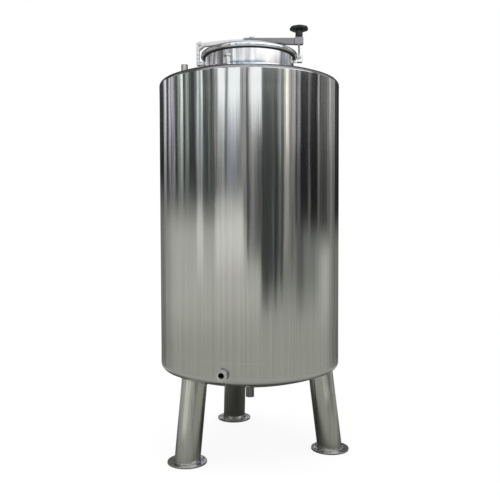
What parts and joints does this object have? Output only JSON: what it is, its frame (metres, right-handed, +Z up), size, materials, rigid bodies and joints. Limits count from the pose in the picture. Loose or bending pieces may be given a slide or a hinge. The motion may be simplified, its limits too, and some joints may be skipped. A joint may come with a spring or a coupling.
{
  "type": "vertical storage tank",
  "caption": "Upright polished stainless storage tank with dished heads, a clamped round manhole lid, side outlet, drain and splayed pipe legs.",
  "frame": {"origin": "middle of the bounding box on the floor; the vessel's axis stands at x -0.0177, y -0.0138", "axes": "+Z up along the vessel's axis; -X towards the lid's hinge, +X towards its clamp; -Y towards the side outlet"},
  "size_m": [0.8354, 0.8528, 1.8795],
  "materials": {
    "shell_steel": "mirror polished stainless sheet",
    "head_steel": "mirror polished dished sheet",
    "neck_steel": "polished",
    "lid_steel": "polished",
    "gasket": "matt black rubber",
    "clamp_steel": "satin",
    "knob": "gloss black moulded plastic",
    "leg_steel": "fine ground and polished pipe",
    "foot_steel": "polished plate",
    "nozzle_steel": "polished"
  },
  "bodies": {
    "root": {"shell_panel_1": "shell_steel", "shell_panel_2": "shell_steel", "shell_panel_3": "shell_steel", "shell_panel_4": "shell_steel", "shell_panel_5": "shell_steel", "shell_panel_6": "shell_steel", "shell_panel_7": "shell_steel", "shell_panel_8": "shell_steel", "top_head_sector_1": "head_steel", "top_head_sector_2": "head_steel", "top_head_sector_3": "head_steel", "top_head_sector_4": "head_steel", "top_head_sector_5": "head_steel", "top_head_sector_6": "head_steel", "bottom_head_sector_1": "head_steel", "bottom_head_sector_2": "head_steel", "bottom_head_sector_3": "head_steel", "bottom_head_sector_4": "head_steel", "bottom_head_sector_5": "head_steel", "bottom_head_sector_6": "head_steel", "manhole_neck": "neck_steel", "hinge_bracket": "clamp_steel", "hinge_pin": "clamp_steel", "latch_lug": "clamp_steel", "side_outlet": "nozzle_steel", "drain_stub": "nozzle_steel", "vent_stub": "nozzle_steel", "top_ferrule": "nozzle_steel", "leg_right": "leg_steel", "leg_rear": "leg_steel", "leg_left": "leg_steel", "foot_plate_right": "foot_steel", "foot_plate_rear": "foot_steel", "foot_plate_left": "foot_steel"},
    "lid": {"lid_cover": "lid_steel", "lid_gasket": "gasket", "clamp_lever": "clamp_steel", "lever_fork": "clamp_steel", "lid_stud": "clamp_steel"},
    "clamp_bolt": {"swing_bolt": "clamp_steel", "bolt_cross_pin": "clamp_steel"},
    "knob": {"hand_knob": "knob"}
  },
  "joints": [
    {"name": "lid_hinge", "type": "hinge", "parent": "root", "child": "lid", "pos_m": [-0.2382, -0.0138, 1.794], "axis": [0, -1, 0], "range_deg": [0, 110]},
    {"name": "bolt_swing", "type": "hinge", "parent": "lid", "child": "clamp_bolt", "pos_m": [0.2063, -0.0138, 1.737], "axis": [0, 1, 0], "range_deg": [0, 112]},
    {"name": "knob_turn", "type": "hinge", "parent": "clamp_bolt", "child": "knob", "pos_m": [0.2063, -0.0138, 1.869], "axis": [0, 0, 1], "continuous": true}
  ]
}
